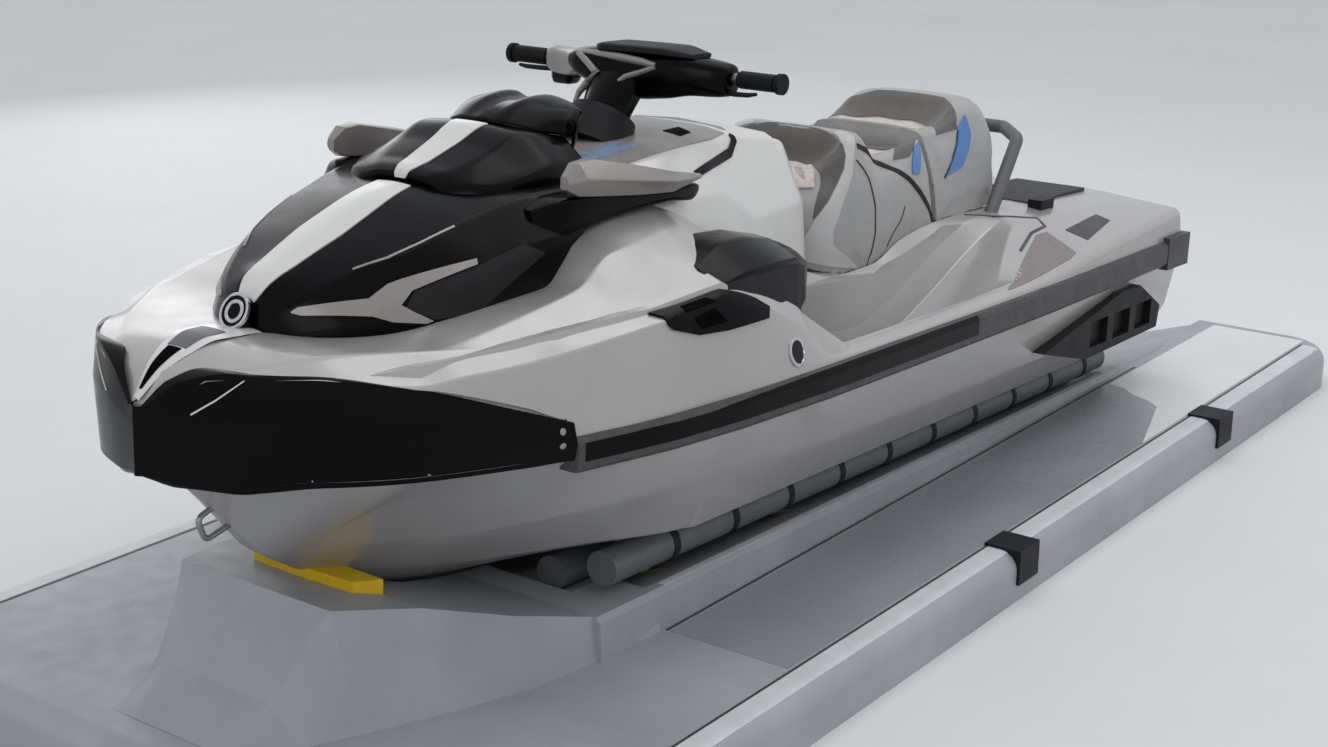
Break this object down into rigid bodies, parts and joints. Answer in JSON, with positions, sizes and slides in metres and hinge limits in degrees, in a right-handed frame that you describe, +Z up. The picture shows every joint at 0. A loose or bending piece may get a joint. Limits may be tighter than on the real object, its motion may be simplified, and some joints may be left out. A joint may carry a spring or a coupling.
{
  "type": "personal watercraft on a drive-on port",
  "caption": "Three-seat sit-down personal watercraft with hinged hood, steering, jet pump and lift-off rear seat, parked on a floating drive-on port with rollers.",
  "frame": {"origin": "centre of the port's underside, on the surface it stands on", "axes": "+X towards the bow, +Y to port, +Z up"},
  "size_m": [4.2, 1.786, 1.5573],
  "materials": {
    "hull_silver": "gloss",
    "deck_silver": "gloss metallic",
    "engine_grey": "matt",
    "gloss_black": "high gloss",
    "seat_vinyl": "grained vinyl",
    "dark_rubber": "satin",
    "dark_plastic": "satin grained",
    "silver_accent": "metallic satin",
    "mat_foam": "grooved foam",
    "steel": "brushed",
    "aluminium": "cast",
    "grip_rubber": "ribbed",
    "port_grey": "rotomoulded",
    "bunk_grey": "ribbed",
    "roller_yellow": "satin"
  },
  "bodies": {
    "root": {"hull": "hull_silver", "deck": "deck_silver", "engine": "engine_grey", "front_seat": "seat_vinyl", "bow_bumper": "gloss_black", "rub_rails": "dark_rubber", "stern_bumpers": "dark_rubber", "speaker_pods": "dark_plastic", "side_vents": "dark_plastic", "footwell_mats": "mat_foam", "platform_mats": "mat_foam", "platform_cleats": "dark_plastic", "grab_rail": "dark_plastic", "bow_eye": "steel", "stern_eyes": "steel", "sponsons": "dark_plastic", "pump_housing": "aluminium", "venturi": "aluminium", "gate_brackets": "aluminium", "ride_plate": "dark_plastic", "intake_grate": "aluminium", "column_collar": "dark_plastic", "port_float": "port_grey", "bow_stop": "roller_yellow", "couplers": "dark_plastic", "bunk_rails_port": "bunk_grey", "bunk_rails_starboard": "bunk_grey"},
    "hood": {"hood_shell": "gloss_black", "gauge_cowl": "gloss_black", "gauge_visor": "gloss_black", "hood_blades": "silver_accent", "nose_badge": "gloss_black", "mirror_housings": "silver_accent", "mirror_mounts": "gloss_black"},
    "glovebox": {"glovebox_lid": "deck_silver"},
    "rear_seat": {"rear_seat": "seat_vinyl"},
    "steering": {"steering_neck": "dark_plastic", "handlebar": "steel", "handlebar_pad": "dark_plastic", "handlebar_grips": "grip_rubber"},
    "nozzle": {"steering_nozzle": "dark_plastic"},
    "gate": {"reverse_gate": "dark_plastic"},
    "impeller": {"impeller": "steel"},
    "roller_port_1": {"roller_port_1": "roller_yellow"},
    "roller_port_2": {"roller_port_2": "roller_yellow"},
    "roller_port_3": {"roller_port_3": "roller_yellow"},
    "roller_port_4": {"roller_port_4": "roller_yellow"},
    "roller_port_5": {"roller_port_5": "roller_yellow"},
    "roller_starboard_1": {"roller_starboard_1": "roller_yellow"},
    "roller_starboard_2": {"roller_starboard_2": "roller_yellow"},
    "roller_starboard_3": {"roller_starboard_3": "roller_yellow"},
    "roller_starboard_4": {"roller_starboard_4": "roller_yellow"},
    "roller_starboard_5": {"roller_starboard_5": "roller_yellow"}
  },
  "joints": [
    {"name": "hood_hinge", "type": "hinge", "parent": "root", "child": "hood", "pos_m": [1.80355, 0, 1.13993], "axis": [0, 1, 0], "range_deg": [0, 48]},
    {"name": "glovebox_hinge", "type": "hinge", "parent": "root", "child": "glovebox", "pos_m": [0.13828, 0, 1.30656], "axis": [0, -1, 0], "range_deg": [0, 75]},
    {"name": "rear_seat_lift", "type": "slide", "parent": "root", "child": "rear_seat", "axis": [-0.0454, 0, 0.999], "range_m": [0, 0.3]},
    {"name": "steering_column", "type": "hinge", "parent": "root", "child": "steering", "pos_m": [0.64376, 0, 1.39558], "axis": [-0.5962, 0, 0.8028], "range_deg": [-24, 24]},
    {"name": "nozzle_yaw", "type": "hinge", "parent": "root", "child": "nozzle", "pos_m": [-1.46529, 0, 0.44493], "axis": [-0.0454, 0, 0.999], "range_deg": [-24, 24]},
    {"name": "gate_pivot", "type": "hinge", "parent": "root", "child": "gate", "pos_m": [-1.49026, 0, 0.4438], "axis": [0, -1, 0], "range_deg": [0, 84]},
    {"name": "impeller_spin", "type": "hinge", "parent": "root", "child": "impeller", "pos_m": [-1.27049, 0, 0.45378], "axis": [0.999, 0, 0.0454], "continuous": true},
    {"name": "roller_port_1_spin", "type": "hinge", "parent": "root", "child": "roller_port_1", "pos_m": [-1.18741, 0.31, 0.38785], "axis": [-0.0141, 0.9505, 0.3103], "continuous": true},
    {"name": "roller_port_2_spin", "type": "hinge", "parent": "root", "child": "roller_port_2", "pos_m": [-0.65796, 0.31, 0.41189], "axis": [-0.0141, 0.9505, 0.3103], "continuous": true},
    {"name": "roller_port_3_spin", "type": "hinge", "parent": "root", "child": "roller_port_3", "pos_m": [-0.1285, 0.31, 0.43593], "axis": [-0.0141, 0.9505, 0.3103], "continuous": true},
    {"name": "roller_port_4_spin", "type": "hinge", "parent": "root", "child": "roller_port_4", "pos_m": [0.40095, 0.31, 0.45997], "axis": [-0.0141, 0.9505, 0.3103], "continuous": true},
    {"name": "roller_port_5_spin", "type": "hinge", "parent": "root", "child": "roller_port_5", "pos_m": [0.93041, 0.31, 0.48402], "axis": [-0.0141, 0.9505, 0.3103], "continuous": true},
    {"name": "roller_starboard_1_spin", "type": "hinge", "parent": "root", "child": "roller_starboard_1", "pos_m": [-1.18741, -0.31, 0.38785], "axis": [0.0141, 0.9505, -0.3103], "continuous": true},
    {"name": "roller_starboard_2_spin", "type": "hinge", "parent": "root", "child": "roller_starboard_2", "pos_m": [-0.65796, -0.31, 0.41189], "axis": [0.0141, 0.9505, -0.3103], "continuous": true},
    {"name": "roller_starboard_3_spin", "type": "hinge", "parent": "root", "child": "roller_starboard_3", "pos_m": [-0.1285, -0.31, 0.43593], "axis": [0.0141, 0.9505, -0.3103], "continuous": true},
    {"name": "roller_starboard_4_spin", "type": "hinge", "parent": "root", "child": "roller_starboard_4", "pos_m": [0.40095, -0.31, 0.45997], "axis": [0.0141, 0.9505, -0.3103], "continuous": true},
    {"name": "roller_starboard_5_spin", "type": "hinge", "parent": "root", "child": "roller_starboard_5", "pos_m": [0.93041, -0.31, 0.48402], "axis": [0.0141, 0.9505, -0.3103], "continuous": true}
  ],
  "couplings": [
    {"joint": "nozzle_yaw", "follows": "steering_column", "ratio": 1}
  ]
}
